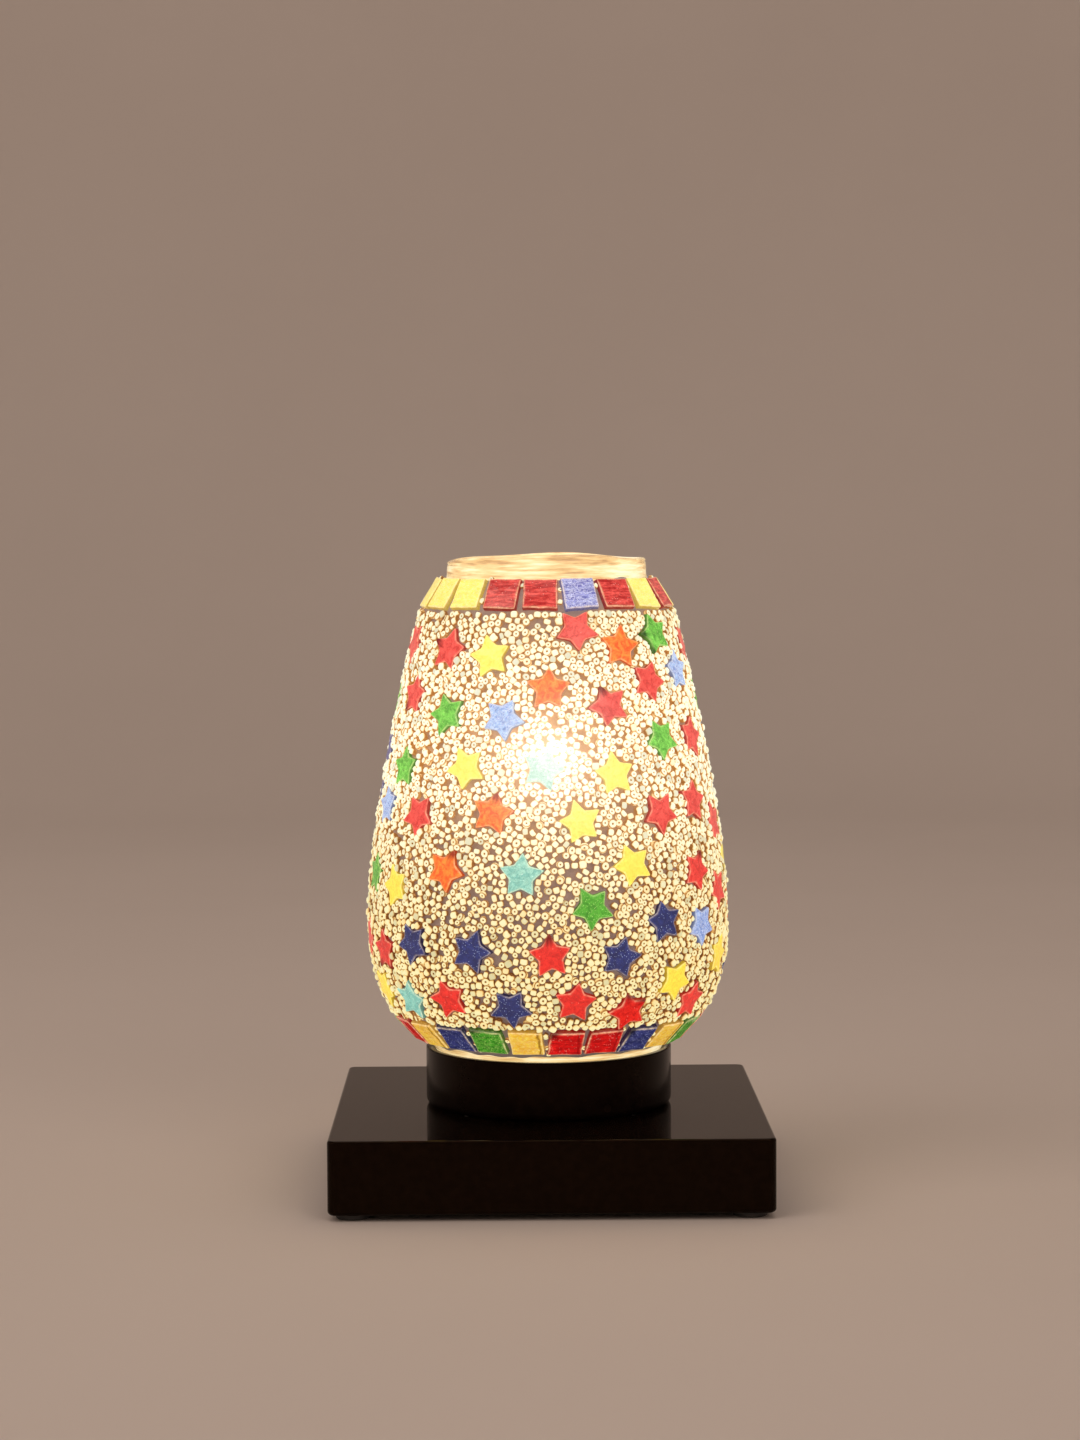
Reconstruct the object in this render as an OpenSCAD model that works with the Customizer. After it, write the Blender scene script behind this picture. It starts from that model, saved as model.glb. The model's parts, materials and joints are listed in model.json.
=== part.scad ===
// Mosaic glass table lamp: a barrel-shaped glass shade in a turned collar on a square base.
// Millimetres, +Z up, origin on the table under the middle of the base, front towards -Y.

/* [Base] */
// Side of the square base plate
plate_size = 152; // [146:1:180]
// Thickness of the base plate
plate_thickness = 25.5; // [25:0.5:30]
// Radius of the plate's upright corners
plate_corner = 3; // [2:0.5:6]
// Height of the rubber feet
foot_height = 2; // [1:0.5:4]
// Diameter of the rubber feet
foot_diameter = 12; // [8:1:12]
// Outside diameter of the turned collar
collar_diameter = 88.2; // [88:0.2:92]
// Height of the turned collar above the plate
collar_height = 20.8; // [20:0.2:22]
// Bore of the cable grommet in the back of the plate
cable_bore = 6.5; // [5:0.5:7]

/* [Shade] */
// Thickness of the glass
glass_wall = 2.5; // [2:0.1:3]
// Thickness of the grout on the glass
grout_thickness = 0.5; // [0.3:0.1:0.8]
// Thickness of the layer of seed beads on the grout
bead_thickness = 1.9; // [1.5:0.1:2.2]
// Side of a square mosaic chip
chip_size = 12; // [10:0.1:12]
// Thickness of the mosaic chips and stars
chip_thickness = 2; // [1.5:0.1:2.5]
// Number of chips in the upper band
upper_chip_count = 19; // [17:1:19]
// Number of chips in the lower band
lower_chip_count = 24; // [20:1:24]
// Size of a star across its points
star_size = 13.6; // [10:0.2:13.6]

/* [Light] */
// Diameter of the bulb
bulb_diameter = 60; // [50:1:60]
// Height of the bulb from its centre contact to its crown
bulb_length = 106; // [100:1:110]
// Thickness of the bulb's glass
bulb_wall = 0.8; // [0.6:0.1:1.2]

/* [Hidden] */
$fn = 96;

// Levels of the base, from the table up.
plate_bottom = foot_height;
plate_top = plate_bottom + plate_thickness;
collar_top = plate_top + collar_height;
cover_thickness = 1.6;
cover_top = plate_bottom + cover_thickness;
cover_size = plate_size - 32;
pocket_top = plate_top - 10;
pocket_radius = 30;
top_edge = 1;
bottom_edge = 1.5;
foot_place = plate_size / 2 - 8.5;
cover_screw_place = cover_size / 2 - 6;

// The collar: a ledge carries the shade's neck inside a thin rim.
collar_radius = collar_diameter / 2;
collar_bore = 36;
neck_radius = 39.5;
neck_play = 1.1;
seat_gap = 0.3;
seat_level = collar_top - 7.8;
collar_screw_circle = 40.5;
collar_screw_count = 4;

// The cable tunnel runs back from the wiring pocket.
tunnel_radius = 5;
tunnel_level = plate_bottom + 8;
grommet_length = 16;
grommet_flange = 1.5;
grommet_flange_radius = 8.5;

// The outline of the shade's glass as [radius, height], given above the collar's top.
flare = [47, collar_top + 6.2];
belly = [62, collar_top + 45.7];
shoulder = [44.5, collar_top + 151.2];
mouth = [36.5, collar_top + 166.7];
lip_radius = 35.6;
lip_top = collar_top + 175.7;
neck_bottom = seat_level + seat_gap;

// How far the coats reach up the glass, and where the chip bands are centred.
grout_low = collar_top + 1.9;
grout_high = collar_top + 167.4;
beads_low = collar_top + 14.5;
beads_high = collar_top + 155.7;
lower_band = collar_top + 9.1;
upper_band = collar_top + 162;
lower_first_bearing = 6;
upper_first_bearing = -3.5;
chip_bed = 0.2;

// Chip colours, one letter each, anticlockwise seen from above, starting at the front.
UPPER_COLOURS = "RBRYRYBRYRBYRRBYYYR";
LOWER_COLOURS = "RRNYGRYNGRYRNYGRNYGRYNGY";

// Stars on one half of the shade: bearing from the front, height above the collar, colour.
// The other half repeats them.
STARS = [
    [-76, 145, "R"], [-45, 143, "R"], [-24, 141, "Y"], [12, 150, "R"], [31, 144, "O"],
    [52, 148, "G"], [82, 144, "R"],
    [-63, 127, "R"], [-41, 121, "G"], [-17, 120, "B"], [0, 130, "O"], [23, 124, "R"],
    [43, 132, "R"], [64, 135, "B"], [90, 125, "G"],
    [-84, 107, "N"], [-61, 102, "G"], [-30, 103, "Y"], [-2, 103, "M"], [23, 101, "Y"],
    [45, 112, "G"], [65, 112, "R"],
    [-71, 88, "B"], [-49, 86, "R"], [-19, 88, "O"], [10, 85, "Y"], [40, 87, "R"],
    [58, 90, "R"], [74, 81, "R"], [92, 92, "N"],
    [-75, 64, "G"], [-58, 61, "Y"], [-35, 68, "O"], [-9, 67, "M"], [27, 70, "Y"],
    [55, 66, "R"], [84, 69, "Y"], [70, 58, "R"],
    [-82, 41, "R"], [-65, 38, "R"], [-48, 42, "N"], [-25, 41, "N"], [0, 40, "R"],
    [13, 56, "G"], [22, 39, "N"], [38, 50, "N"], [56, 47, "B"], [70, 35, "Y"], [88, 52, "O"],
    [-71, 24, "Y"], [-53, 22, "M"], [-35, 24, "R"], [-13, 22, "N"], [8, 24, "R"],
    [27, 20, "R"], [44, 29, "Y"], [55, 21, "R"], [88, 24, "N"]
];

// The threaded tube and what it carries.
nipple_radius = 5;
nipple_bore = 4;
nipple_play = 0.05;
nipple_low = plate_bottom + 7;
washer_thickness = 1.5;
nut_height = 3.5;
nut_radius = 8;

// The lamp holder, from the bottom of its cap up.
holder_low = collar_top - 1.3;
holder_radius = 19.5;
holder_wall = 2;
cap_height = 15;
shell_low = holder_low + cap_height;
shell_top = holder_low + 57;
core_low = shell_low + 4;
core_top = core_low + 7;
core_radius = 17.2;
terminal_offset = 9;

// The bulb stands on its contact and is centred on the lamp's axis.
bulb_low = core_top + 3;
bulb_radius = bulb_diameter / 2;
bulb_top = bulb_low + bulb_length;
bulb_centre = bulb_top - bulb_radius;
cap_radius = 13.1;
cap_top = bulb_low + 27;
filament_level = bulb_low + 79;
filament_radius = 12;
support_count = 5;
stem_top = bulb_low + 58;

function tail(list) = [for (i = [1:len(list) - 1]) list[i]];
function backwards(list) = [for (i = [len(list) - 1:-1:0]) list[i]];

// Points of a cubic curve from a to d with handles b and c.
function curve(a, b, c, d, steps) = [
    for (i = [0:steps])
        let (t = i / steps, s = 1 - t)
        s * s * s * a + 3 * s * s * t * b + 3 * s * t * t * c + t * t * t * d
];

// Points of an arc about a centre.
function arc(centre, radius, from, to, steps) = [
    for (i = [0:steps])
        let (a = from + (to - from) * i / steps)
        centre + radius * [cos(a), sin(a)]
];

// The outward normal of an upward-running outline at its point i.
function normal_at(line, i) =
    let (d = line[min(i + 1, len(line) - 1)] - line[max(i - 1, 0)])
    [d[1], -d[0]] / norm(d);
function pushed(line, gap) = [for (i = [0:len(line) - 1]) line[i] + gap * normal_at(line, i)];
function radius_at(line, height) = lookup(height, [for (p = line) [p[1], p[0]]]);
function stretch(line, low, high) = concat(
    [[radius_at(line, low), low]],
    [for (p = line) if (p[1] > low && p[1] < high) p],
    [[radius_at(line, high), high]]
);

// The outside of the glass from the neck's foot to just below the rounded lip.
glass_line = concat(
    [[neck_radius, neck_bottom]],
    curve([neck_radius, collar_top - 4.3], [neck_radius, collar_top - 0.8],
        flare - [3.85, 3.5], flare, 6),
    tail(curve(flare, flare + [11, 10], belly - [0, 18], belly, 10)),
    tail(curve(belly, belly + [0, 34], shoulder + [2.5, -8.5], shoulder, 12)),
    tail(curve(shoulder, shoulder + [-1.1, 5], mouth + [4, -5], mouth, 6)),
    tail(curve(mouth, mouth + [-0.7, 0.9], [lip_radius, mouth[1] + 2], [lip_radius, mouth[1] + 3], 4)),
    [[lip_radius, lip_top - glass_wall / 2]]
);
bed_line = pushed(glass_line, grout_thickness);

// Elevation of the coated glass's outward normal at a height.
function lean(height) =
    atan2(radius_at(bed_line, height - 3) - radius_at(bed_line, height + 3), 6);

// Moves its children onto the grout: +Z points away from the lamp, +X down the glass.
module on_shade(bearing, height) {
    rotate([0, 0, bearing - 90])
        translate([radius_at(bed_line, height), 0, height])
            rotate([0, 90 - lean(height), 0])
                translate([0, 0, -chip_bed])
                    children();
}

module chip() {
    translate([-chip_size / 2, -chip_size / 2, 0])
        cube([chip_size, chip_size, chip_thickness + chip_bed]);
}

// The chips of one colour in a band; each sits a little askew.
module band(count, colours, letter, height, first) {
    for (i = [0:count - 1])
        if (colours[i] == letter)
            on_shade(first + i * 360 / count, height)
                rotate([0, 0, 2 * sin(110 * i)])
                    chip();
}

// A fat five-pointed star with blunt points.
module star() {
    outer = star_size / 2;
    blunt = 0.93 * outer;
    inner = 0.6 * outer;
    points = [
        for (arm = [0:4], p = [[-7, blunt], [0, outer], [7, blunt], [36, inner]])
            p[1] * [cos(72 * arm + p[0]), sin(72 * arm + p[0])]
    ];
    linear_extrude(chip_thickness + chip_bed)
        polygon(points);
}

// The stars of one colour, each turned by a different amount.
module stars(letter) {
    for (half = [0, 180], i = [0:len(STARS) - 1])
        if (STARS[i][2] == letter)
            on_shade(STARS[i][0] + half, collar_top + STARS[i][1])
                rotate([0, 0, 25 * i + half / 6])
                    star();
}

// A shell of revolution between two offsets of the glass's outside.
module coat(from, to, low, high) {
    rotate_extrude()
        polygon(concat(
            stretch(pushed(glass_line, to), low, high),
            backwards(stretch(pushed(glass_line, from), low, high))
        ));
}

// A screw with a countersunk head, head down, its tip at the given length.
module screw(radius, head, length) {
    rotate_extrude($fn = 32)
        polygon([[0, 0], [head, 0], [radius, head - radius], [radius, length - 2 * radius],
            [0.2, length], [0, length]]);
}

module hex_nut(level) {
    translate([0, 0, level])
        difference() {
            cylinder(h = nut_height, r = nut_radius, $fn = 6);
            translate([0, 0, -1])
                cylinder(h = nut_height + 2, r = nipple_radius + nipple_play);
        }
}

module washer(level) {
    translate([0, 0, level])
        difference() {
            cylinder(h = washer_thickness, r = 10);
            translate([0, 0, -1])
                cylinder(h = washer_thickness + 2, r = nipple_radius + nipple_play);
        }
}

// Repeats its children at the four corners of a centred square.
module at_corners(place) {
    for (x = [-1, 1], y = [-1, 1])
        translate([x * place, y * place, 0])
            children();
}

module around_collar() {
    for (i = [0:collar_screw_count - 1])
        rotate([0, 0, 45 + i * 360 / collar_screw_count])
            translate([collar_screw_circle, 0, 0])
                children();
}

// One upright corner of the plate, rounded at its foot and its top edge.
module corner_post() {
    rotate_extrude($fn = 48)
        polygon(concat(
            [[0, plate_bottom]],
            arc([plate_corner - bottom_edge, plate_bottom + bottom_edge], bottom_edge, -90, 0, 5),
            arc([plate_corner - top_edge, plate_top - top_edge], top_edge, 0, 90, 5),
            [[0, plate_top]]
        ));
}

module base_plate() {
    color([0.05, 0.03, 0.025])
        difference() {
            hull()
                at_corners(plate_size / 2 - plate_corner)
                    corner_post();
            translate([-cover_size / 2 - 0.2, -cover_size / 2 - 0.2, plate_bottom - 1])
                cube([cover_size + 0.4, cover_size + 0.4, cover_thickness + 1]);
            cylinder(h = pocket_top, r = pocket_radius);
            cylinder(h = plate_top + 1, r = nipple_radius + 0.25);
            translate([0, 0, tunnel_level])
                rotate([-90, 0, 0])
                    cylinder(h = plate_size, r = tunnel_radius, $fn = 48);
            translate([0, plate_size / 2 - grommet_flange, tunnel_level])
                rotate([-90, 0, 0])
                    cylinder(h = 3, r = grommet_flange_radius, $fn = 48);
            around_collar() {
                cylinder(h = plate_top + 1, r = 2.1, $fn = 32);
                cylinder(h = cover_top + 3.2, r = 4.2, $fn = 32);
            }
            at_corners(cover_screw_place)
                cylinder(h = plate_bottom + 13, r = 1.6, $fn = 32);
        }
}

module base_collar() {
    rim_bore = neck_radius + neck_play;
    foot_round = 2.5;
    rim_round = 0.6;
    color([0.045, 0.03, 0.025])
        difference() {
            rotate_extrude()
                polygon(concat(
                    [[collar_bore, plate_top]],
                    arc([collar_radius - foot_round, plate_top + foot_round], foot_round, -90, 0, 6),
                    arc([collar_radius - rim_round, collar_top - rim_round], rim_round, 0, 90, 4),
                    [[rim_bore + 1.6, collar_top], [rim_bore, collar_top - 2.4],
                    [rim_bore, seat_level], [collar_bore, seat_level]]
                ));
            around_collar()
                translate([0, 0, plate_top - 1])
                    cylinder(h = 11.6, r = 1.6, $fn = 32);
        }
}

module collar_screws() {
    color([0.62, 0.62, 0.64])
        around_collar()
            translate([0, 0, cover_top + 0.2])
                screw(1.55, 4, plate_top + 10 - cover_top);
}

module bottom_cover() {
    color([0.2, 0.13, 0.09])
        difference() {
            translate([-cover_size / 2, -cover_size / 2, plate_bottom])
                cube([cover_size, cover_size, cover_thickness]);
            at_corners(cover_screw_place)
                translate([0, 0, plate_bottom])
                    screw(1.65, 3.4, 8);
        }
}

module bottom_cover_screws() {
    color([0.62, 0.62, 0.64])
        at_corners(cover_screw_place)
            translate([0, 0, plate_bottom])
                screw(1.55, 3.2, 12);
}

module foot(x, y) {
    radius = foot_diameter / 2;
    edge = 0.6;
    color([0.06, 0.06, 0.06])
        translate([x * foot_place, y * foot_place, 0])
            rotate_extrude($fn = 48)
                polygon(concat(
                    [[0, 0]],
                    arc([radius - edge, edge], edge, -90, 0, 4),
                    [[radius, foot_height], [0, foot_height]]
                ));
}

module foot_front_left() { foot(-1, -1); }
module foot_front_right() { foot(1, -1); }
module foot_rear_left() { foot(-1, 1); }
module foot_rear_right() { foot(1, 1); }

module cable_grommet() {
    color([0.05, 0.05, 0.05])
        translate([0, plate_size / 2, tunnel_level])
            rotate([90, 0, 0])
                difference() {
                    union() {
                        cylinder(h = grommet_flange, r = grommet_flange_radius - 0.1, $fn = 48);
                        cylinder(h = grommet_length, r = tunnel_radius - 0.05, $fn = 48);
                    }
                    translate([0, 0, -1])
                        cylinder(h = grommet_length + 2, r = cable_bore / 2, $fn = 48);
                }
}

module nipple_tube() {
    color([0.75, 0.6, 0.3])
        translate([0, 0, nipple_low])
            difference() {
                cylinder(h = holder_low + 7 - nipple_low, r = nipple_radius);
                translate([0, 0, -1])
                    cylinder(h = holder_low + 9 - nipple_low, r = nipple_bore);
            }
}

module nipple_lower_washer() { color([0.62, 0.62, 0.64]) washer(pocket_top - washer_thickness); }
module nipple_lower_nut() {
    color([0.75, 0.6, 0.3])
        hex_nut(pocket_top - washer_thickness - nut_height);
}
module nipple_upper_washer() { color([0.62, 0.62, 0.64]) washer(plate_top); }
module nipple_upper_nut() { color([0.75, 0.6, 0.3]) hex_nut(plate_top + washer_thickness); }
module holder_lock_nut() { color([0.75, 0.6, 0.3]) hex_nut(holder_low - nut_height); }

// The domed cap of the holder with its threaded boss and the spigot the shell screws onto.
module holder_cap() {
    boss = 9;
    spigot = 17.6;
    color([0.1, 0.1, 0.1])
        rotate_extrude()
            polygon(concat(
                [[nipple_radius + nipple_play, holder_low]],
                [[boss, holder_low]],
                curve([boss, holder_low + 3], [boss + 2, holder_low + 6],
                    [holder_radius, holder_low + 5], [holder_radius, shell_low], 8),
                [[spigot, shell_low], [spigot, core_low], [spigot - holder_wall, core_low]],
                curve([spigot - holder_wall, shell_low], [spigot - holder_wall, holder_low + 9],
                    [boss + 1, holder_low + 8], [boss - 1, holder_low + 7], 6),
                [[nipple_radius + nipple_play, holder_low + 7]]
            ));
}

// The insulating core that carries the contacts and the terminals.
module holder_core() {
    color([0.82, 0.8, 0.74])
        difference() {
            translate([0, 0, core_low])
                cylinder(h = core_top - core_low, r = core_radius);
            for (x = [-1, 1])
                translate([x * terminal_offset, 0, core_low - 1])
                    cylinder(h = 5, r = 1.55, $fn = 32);
            for (place = [[0, -6], [-12.3, 0], [12.3, 0]])
                translate([place[0], place[1], core_low - 1])
                    cylinder(h = core_top - core_low + 2, r = 1, $fn = 32);
        }
}

// The outer shell of the holder; a ledge inside holds the core down.
module holder_shell() {
    color([0.1, 0.1, 0.1])
        rotate_extrude()
            polygon(concat(
                [[holder_radius - 1.6, shell_low + 0.1], [holder_radius, shell_low + 0.1]],
                arc([holder_radius - 1, shell_top - 1], 1, 0, 90, 4),
                [[15.4, shell_top], [15.4, core_top + 0.1], [holder_radius - 1.6, core_top + 0.1]]
            ));
}

// The brass sleeve the bulb's cap screws into.
module screw_shell() {
    inner = 13.5;
    outer = 14;
    sheet = 0.5;
    color([0.8, 0.65, 0.3])
        difference() {
            translate([0, 0, core_top])
                cylinder(h = 26, r = outer);
            translate([0, 0, core_top + sheet])
                cylinder(h = 27, r = inner);
            translate([0, 0, core_top - 1])
                cylinder(h = 3, r = 11);
        }
}

// A spring tongue, riveted at one end, that rises under the bulb's contact.
module centre_contact() {
    width = 5;
    sheet = 0.5;
    rise = bulb_low - core_top - 0.3;
    color([0.8, 0.65, 0.3])
        difference() {
            translate([width / 2, 0, core_top])
                rotate([90, 0, -90])
                    linear_extrude(width)
                        polygon([[8.5, 0], [3.5, 0], [-1.5, rise - sheet], [-3.5, rise - sheet],
                            [-3.5, rise], [-1.7, rise], [3.8, sheet], [8.5, sheet]]);
            translate([0, -6, core_top - 1])
                cylinder(h = 3, r = 1, $fn = 32);
        }
}

module holder_terminals() {
    color([0.8, 0.65, 0.3])
        for (x = [-1, 1])
            difference() {
                translate([x * (terminal_offset + 1.5) - 4.5, -3, core_low - 1.2])
                    cube([9, 6, 1.2]);
                translate([x * terminal_offset, 0, core_low - 2])
                    cylinder(h = 3, r = 1.55, $fn = 32);
                translate([x * 12.3, 0, core_low - 2])
                    cylinder(h = 3, r = 1, $fn = 32);
            }
}

module terminal_screws() {
    color([0.62, 0.62, 0.64])
        for (x = [-1, 1])
            translate([x * terminal_offset, 0, core_low - 3]) {
                cylinder(h = 1.8, r = 2.4, $fn = 32);
                cylinder(h = 6.5, r = 1.5, $fn = 32);
            }
}

// One rivet for the centre contact and two that clamp the screw shell to the core.
module holder_rivets() {
    rivet = 0.95;
    head = 1.7;
    color([0.8, 0.65, 0.3]) {
        translate([0, -6, core_low])
            cylinder(h = core_top + 0.5 - core_low, r = rivet, $fn = 32);
        translate([0, -6, core_top + 0.5])
            cylinder(h = 0.6, r = head, $fn = 32);
        for (x = [-1, 1])
            translate([x * 12.3, 0, core_low - 1.2])
                cylinder(h = core_top - core_low + 1.2, r = rivet, $fn = 32);
    }
}

module shade_glass() {
    color([0.95, 0.9, 0.8, 0.5])
        rotate_extrude()
            polygon(concat(
                glass_line,
                arc([lip_radius - glass_wall / 2, lip_top - glass_wall / 2], glass_wall / 2, 30, 150, 4),
                backwards(pushed(glass_line, -glass_wall))
            ));
}

module grout_coat() { color([0.51, 0.45, 0.43]) coat(0, grout_thickness, grout_low, grout_high); }
module bead_coat() {
    color([0.95, 0.85, 0.62])
        coat(grout_thickness, grout_thickness + bead_thickness, beads_low, beads_high);
}

module stars_red() { color([0.85, 0.08, 0.06]) stars("R"); }
module stars_orange() { color([0.88, 0.35, 0.12]) stars("O"); }
module stars_yellow() { color([0.95, 0.8, 0.2]) stars("Y"); }
module stars_green() { color([0.15, 0.6, 0.15]) stars("G"); }
module stars_mint() { color([0.5, 0.8, 0.7]) stars("M"); }
module stars_navy() { color([0.1, 0.14, 0.4]) stars("N"); }
module stars_blue() { color([0.45, 0.55, 0.85]) stars("B"); }

module upper_tiles(letter) {
    band(upper_chip_count, UPPER_COLOURS, letter, upper_band, upper_first_bearing);
}
module lower_tiles(letter) {
    band(lower_chip_count, LOWER_COLOURS, letter, lower_band, lower_first_bearing);
}
module upper_tiles_red() { color([0.8, 0.05, 0.08]) upper_tiles("R"); }
module upper_tiles_yellow() { color([0.95, 0.85, 0.2]) upper_tiles("Y"); }
module upper_tiles_blue() { color([0.5, 0.5, 0.9]) upper_tiles("B"); }
module lower_tiles_red() { color([0.8, 0.03, 0.03]) lower_tiles("R"); }
module lower_tiles_yellow() { color([0.95, 0.75, 0.15]) lower_tiles("Y"); }
module lower_tiles_green() { color([0.15, 0.6, 0.1]) lower_tiles("G"); }
module lower_tiles_navy() { color([0.15, 0.15, 0.45]) lower_tiles("N"); }

module bulb_contact() {
    color([0.7, 0.7, 0.72])
        rotate_extrude($fn = 48)
            polygon(concat(
                [[0, bulb_low]],
                curve([1, bulb_low], [3, bulb_low], [4.5, bulb_low + 0.5], [4.5, bulb_low + 1.2], 5),
                [[0, bulb_low + 1.2]]
            ));
}

module bulb_insulator() {
    color([0.08, 0.08, 0.1])
        translate([0, 0, bulb_low + 1.2])
            cylinder(h = 4, r1 = 6, r2 = 10);
}

// The bulb's metal cap: a sleeve that closes in to the insulator.
module bulb_cap() {
    sheet = 0.4;
    cone = bulb_low + 5.2;
    color([0.78, 0.78, 0.76])
        rotate_extrude()
            polygon([[10, cone], [cap_radius, cone + 2.2], [cap_radius, cap_top],
                [cap_radius - sheet, cap_top], [cap_radius - sheet, cone + 2.4],
                [10, cone + sheet]]);
}

// The outside of the bulb from inside its cap to its crown.
bulb_line = concat(
    [[cap_radius - 0.6, cap_top - 6]],
    curve([cap_radius - 0.6, cap_top + 0.4], [cap_radius + 2, cap_top + 14],
        [bulb_radius, bulb_centre - 24], [bulb_radius, bulb_centre], 10),
    tail(arc([0, bulb_centre], bulb_radius, 0, 90, 10))
);

module bulb_glass() {
    color([1, 0.95, 0.85, 0.4])
        rotate_extrude()
            intersection() {
                polygon(concat(bulb_line, backwards(pushed(bulb_line, -bulb_wall))));
                square([bulb_radius + 1, bulb_top + 1]);
            }
}

// The flare and the tube that carry the wires, melted into the bulb's neck.
module bulb_stem() {
    flare_radius = cap_radius - 0.6 - bulb_wall;
    low = cap_top - 6;
    color([0.9, 0.92, 0.9, 0.5])
        rotate_extrude($fn = 48)
            polygon(concat(
                [[0, low + 7], [flare_radius - 1.5, low], [flare_radius, low]],
                curve([flare_radius, low + 1], [5, low + 5], [3.5, low + 12], [3, low + 18], 6),
                [[2.2, stem_top - 2], [2.2, stem_top], [0, stem_top]]
            ));
}

// The filament's carriers stand round a ring that is open at the back.
function carrier_angle(i) = -90 + (i - (support_count - 1) / 2) * 260 / (support_count - 1);
function carrier_point(i) =
    [filament_radius * cos(carrier_angle(i)), filament_radius * sin(carrier_angle(i)), filament_level];

// A round wire between two points.
module wire(from, to, radius) {
    d = to - from;
    translate(from)
        rotate([0, acos(d[2] / norm(d)), atan2(d[1], d[0])])
            cylinder(h = norm(d), r = radius, $fn = 16);
}

module ring_wires(picks) {
    root = 1.9;
    for (i = picks)
        wire([root * cos(carrier_angle(i)), root * sin(carrier_angle(i)), stem_top + 0.1],
            carrier_point(i) - [0, 0, 0.7], 0.25);
}

module bulb_lead_wires() { color([0.75, 0.75, 0.78]) ring_wires([0, support_count - 1]); }
module bulb_support_wires() { color([0.75, 0.75, 0.78]) ring_wires([1:support_count - 2]); }

// The filament as a straight coil between neighbouring carriers, clear of the ones beside it.
module bulb_filament() {
    gap = 0.04;
    color([1, 0.8, 0.4])
        for (i = [0:support_count - 2])
            let (a = carrier_point(i), b = carrier_point(i + 1))
                wire(a + gap * (b - a), b - gap * (b - a), 0.4);
}

base_plate();
base_collar();
collar_screws();
bottom_cover();
bottom_cover_screws();
foot_front_left();
foot_front_right();
foot_rear_left();
foot_rear_right();
cable_grommet();
nipple_tube();
nipple_lower_washer();
nipple_lower_nut();
nipple_upper_washer();
nipple_upper_nut();
holder_lock_nut();
holder_cap();
holder_core();
holder_shell();
screw_shell();
centre_contact();
holder_terminals();
terminal_screws();
holder_rivets();
shade_glass();
grout_coat();
bead_coat();
stars_red();
stars_orange();
stars_yellow();
stars_green();
stars_mint();
stars_navy();
stars_blue();
upper_tiles_red();
upper_tiles_yellow();
upper_tiles_blue();
lower_tiles_red();
lower_tiles_yellow();
lower_tiles_green();
lower_tiles_navy();
bulb_contact();
bulb_insulator();
bulb_cap();
bulb_glass();
bulb_stem();
bulb_lead_wires();
bulb_support_wires();
bulb_filament();
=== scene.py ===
import json
import math

import bpy
import numpy as np
from mathutils import Matrix, Vector, kdtree, noise


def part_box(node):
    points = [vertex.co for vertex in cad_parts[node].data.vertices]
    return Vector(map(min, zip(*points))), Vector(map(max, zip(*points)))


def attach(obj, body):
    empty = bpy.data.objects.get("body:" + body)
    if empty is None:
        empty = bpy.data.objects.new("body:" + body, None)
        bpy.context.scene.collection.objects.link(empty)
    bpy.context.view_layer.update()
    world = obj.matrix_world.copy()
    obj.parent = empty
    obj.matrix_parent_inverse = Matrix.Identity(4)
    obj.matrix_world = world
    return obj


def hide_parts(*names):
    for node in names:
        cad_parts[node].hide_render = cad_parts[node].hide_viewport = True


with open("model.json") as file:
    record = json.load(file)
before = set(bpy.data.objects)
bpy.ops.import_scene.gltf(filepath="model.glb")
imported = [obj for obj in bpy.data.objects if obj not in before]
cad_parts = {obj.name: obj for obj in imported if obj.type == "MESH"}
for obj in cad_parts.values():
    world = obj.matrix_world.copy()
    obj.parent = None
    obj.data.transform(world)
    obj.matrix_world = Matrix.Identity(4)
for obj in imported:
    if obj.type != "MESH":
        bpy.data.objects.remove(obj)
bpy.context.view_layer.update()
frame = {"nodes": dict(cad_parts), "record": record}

MM = 0.001
SHADE = "shade"
FRONT = -math.pi / 2

# Seed beads. Shape is a bead's length over its width; names in _MM are in millimetres.
BEAD_COUNT = 6350
BEAD_WIDTH = (1.8 * MM, 3.1 * MM)
WIDTH_MEAN_MM, WIDTH_SPREAD_MM = 2.55, 0.26
GAP_BEAD_WIDTH = 1.9 * MM
BEAD_SHAPE = (0.62, 0.95)
STANDING_SHARE = 0.45
BEAD_PIECES = 6
BARE_PATCHES = 52
PATCH_SIZE_MM = (1.4, 2.8)
SETTLING_ROUNDS = 16
PUSHES_A_ROUND = 4

# Chips. The notch is how deep a star is cut in, as a share of its radius.
STAR_RADIUS = 6.8 * MM
STAR_NOTCH = 0.645
CHIP_BED = 0.2 * MM
DARK_CORNERS = 0.15

# Blown glass.
GLASS_WALL = 2.5 * MM

# Light. Brightness on the shade follows the bulb's light to this power, so that it is evened out.
ROOM_COLOUR = (1.0, 0.80, 0.68)
ROOM_STRENGTH = 0.07
LIGHT_POWER = 0.4
LEAST_SLANT = 0.08

# Camera. Angles are in degrees.
CAMERA_PLACE = (-0.0139, -1.1162, 0.2285)
CAMERA_YAW, CAMERA_PITCH, CAMERA_ROLL = 0.584, 3.25, -0.29
CAMERA_LENS = 77.9


# ---------------------------------------------------------------- the frame's measures

def cad_mesh(name):
    """Points and triangles of a CAD node, with shared corners merged."""
    mesh = frame["nodes"][name].data
    mesh.calc_loop_triangles()
    flat = np.empty(len(mesh.vertices) * 3)
    mesh.vertices.foreach_get("co", flat)
    corners = np.empty(len(mesh.loop_triangles) * 3, int)
    mesh.loop_triangles.foreach_get("vertices", corners)
    points, place = np.unique(flat.reshape(-1, 3).round(7), axis=0, return_inverse=True)
    return points, place.reshape(-1)[corners].reshape(-1, 3)


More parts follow.
